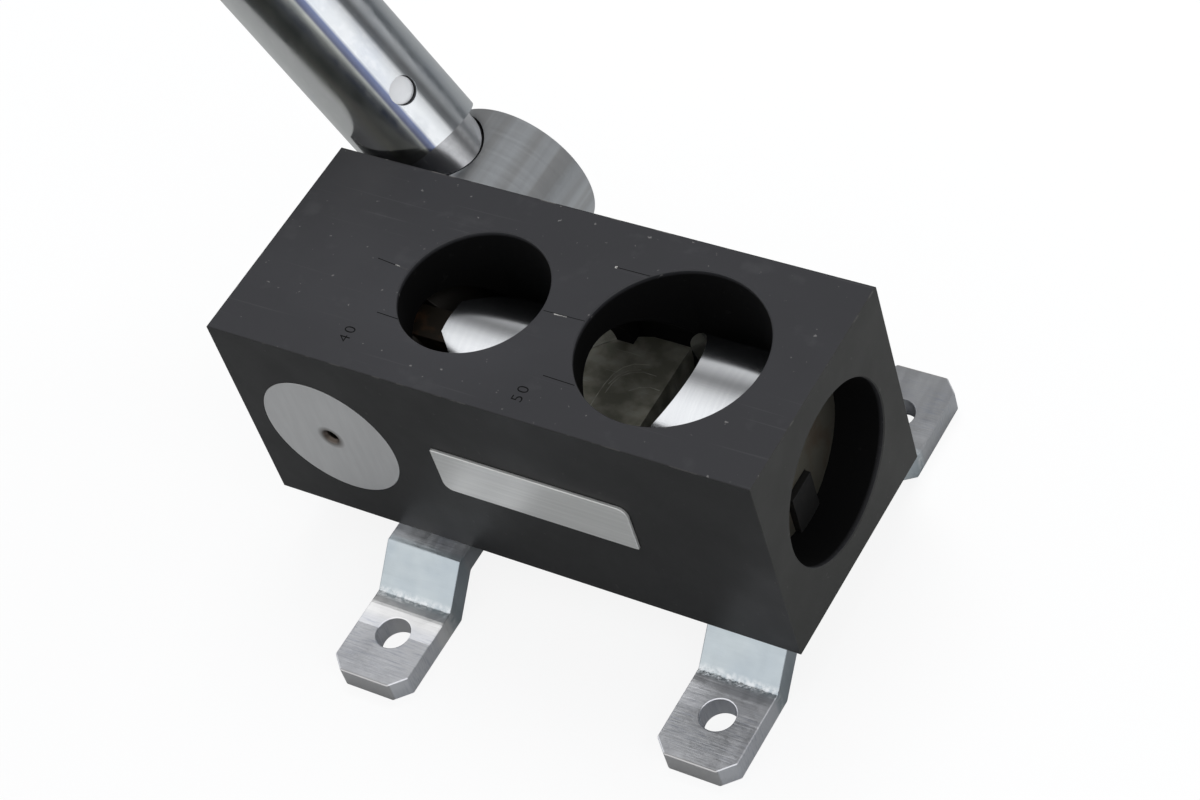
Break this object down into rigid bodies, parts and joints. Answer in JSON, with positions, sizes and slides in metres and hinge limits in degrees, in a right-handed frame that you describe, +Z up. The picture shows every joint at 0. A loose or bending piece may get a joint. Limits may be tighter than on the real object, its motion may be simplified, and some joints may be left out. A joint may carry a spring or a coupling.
{
  "type": "pipe notcher",
  "caption": "Bench tool that notches pipe ends: a bored black steel block on joggled straps, with a sliding ram worked by a long swinging lever.",
  "frame": {"origin": "on the bench, midway between the two bolt holes of the right strap", "axes": "+Z up, +X along the block towards the open end of the ram's bore, -Y towards the bare plate on the front"},
  "size_m": [0.4506, 0.1786, 0.5604],
  "materials": {
    "black_oxide": "satin",
    "zinc_strap": "satin",
    "fastener_black": "satin",
    "ground_steel": "satin",
    "tool_steel": "satin",
    "aged_steel": "matte",
    "bare_plate": "satin",
    "turned_steel": "satin",
    "bronze": "satin",
    "zinc_tube": "gloss",
    "black_cap": "matte"
  },
  "bodies": {
    "base": {"body_block": "black_oxide", "left_strap": "zinc_strap", "right_strap": "zinc_strap", "strap_screws": "fastener_black", "end_plug": "black_oxide", "plug_screw": "fastener_black", "ram_key": "tool_steel", "key_screws": "fastener_black", "badge_plate": "bare_plate"},
    "ram": {"ram": "ground_steel", "yoke": "aged_steel", "yoke_dowels": "ground_steel", "cutter": "tool_steel", "cutter_screws": "fastener_black"},
    "lever": {"crank_front": "ground_steel", "crank_rear": "ground_steel", "crank_pin": "ground_steel", "thrust_washer": "bronze", "hub": "turned_steel", "hub_key": "tool_steel", "hub_washer": "turned_steel", "hub_screw": "fastener_black", "socket_bar": "ground_steel", "bar_screw": "fastener_black", "lever_tube": "zinc_tube", "cross_pin": "zinc_tube", "tube_cap": "black_cap"}
  },
  "joints": [
    {"name": "lever_swing", "type": "hinge", "parent": "base", "child": "lever", "pos_m": [-0.1412, 0, 0.0585], "axis": [0, 1, 0], "range_deg": [0, 94.6]},
    {"name": "ram_slide", "type": "slide", "parent": "base", "child": "ram", "axis": [1, 0, 0], "range_m": [0, 0.0265]}
  ],
  "couplings": [
    {"joint": "ram_slide", "follows": "lever_swing", "m_per_rad": 0.016}
  ]
}
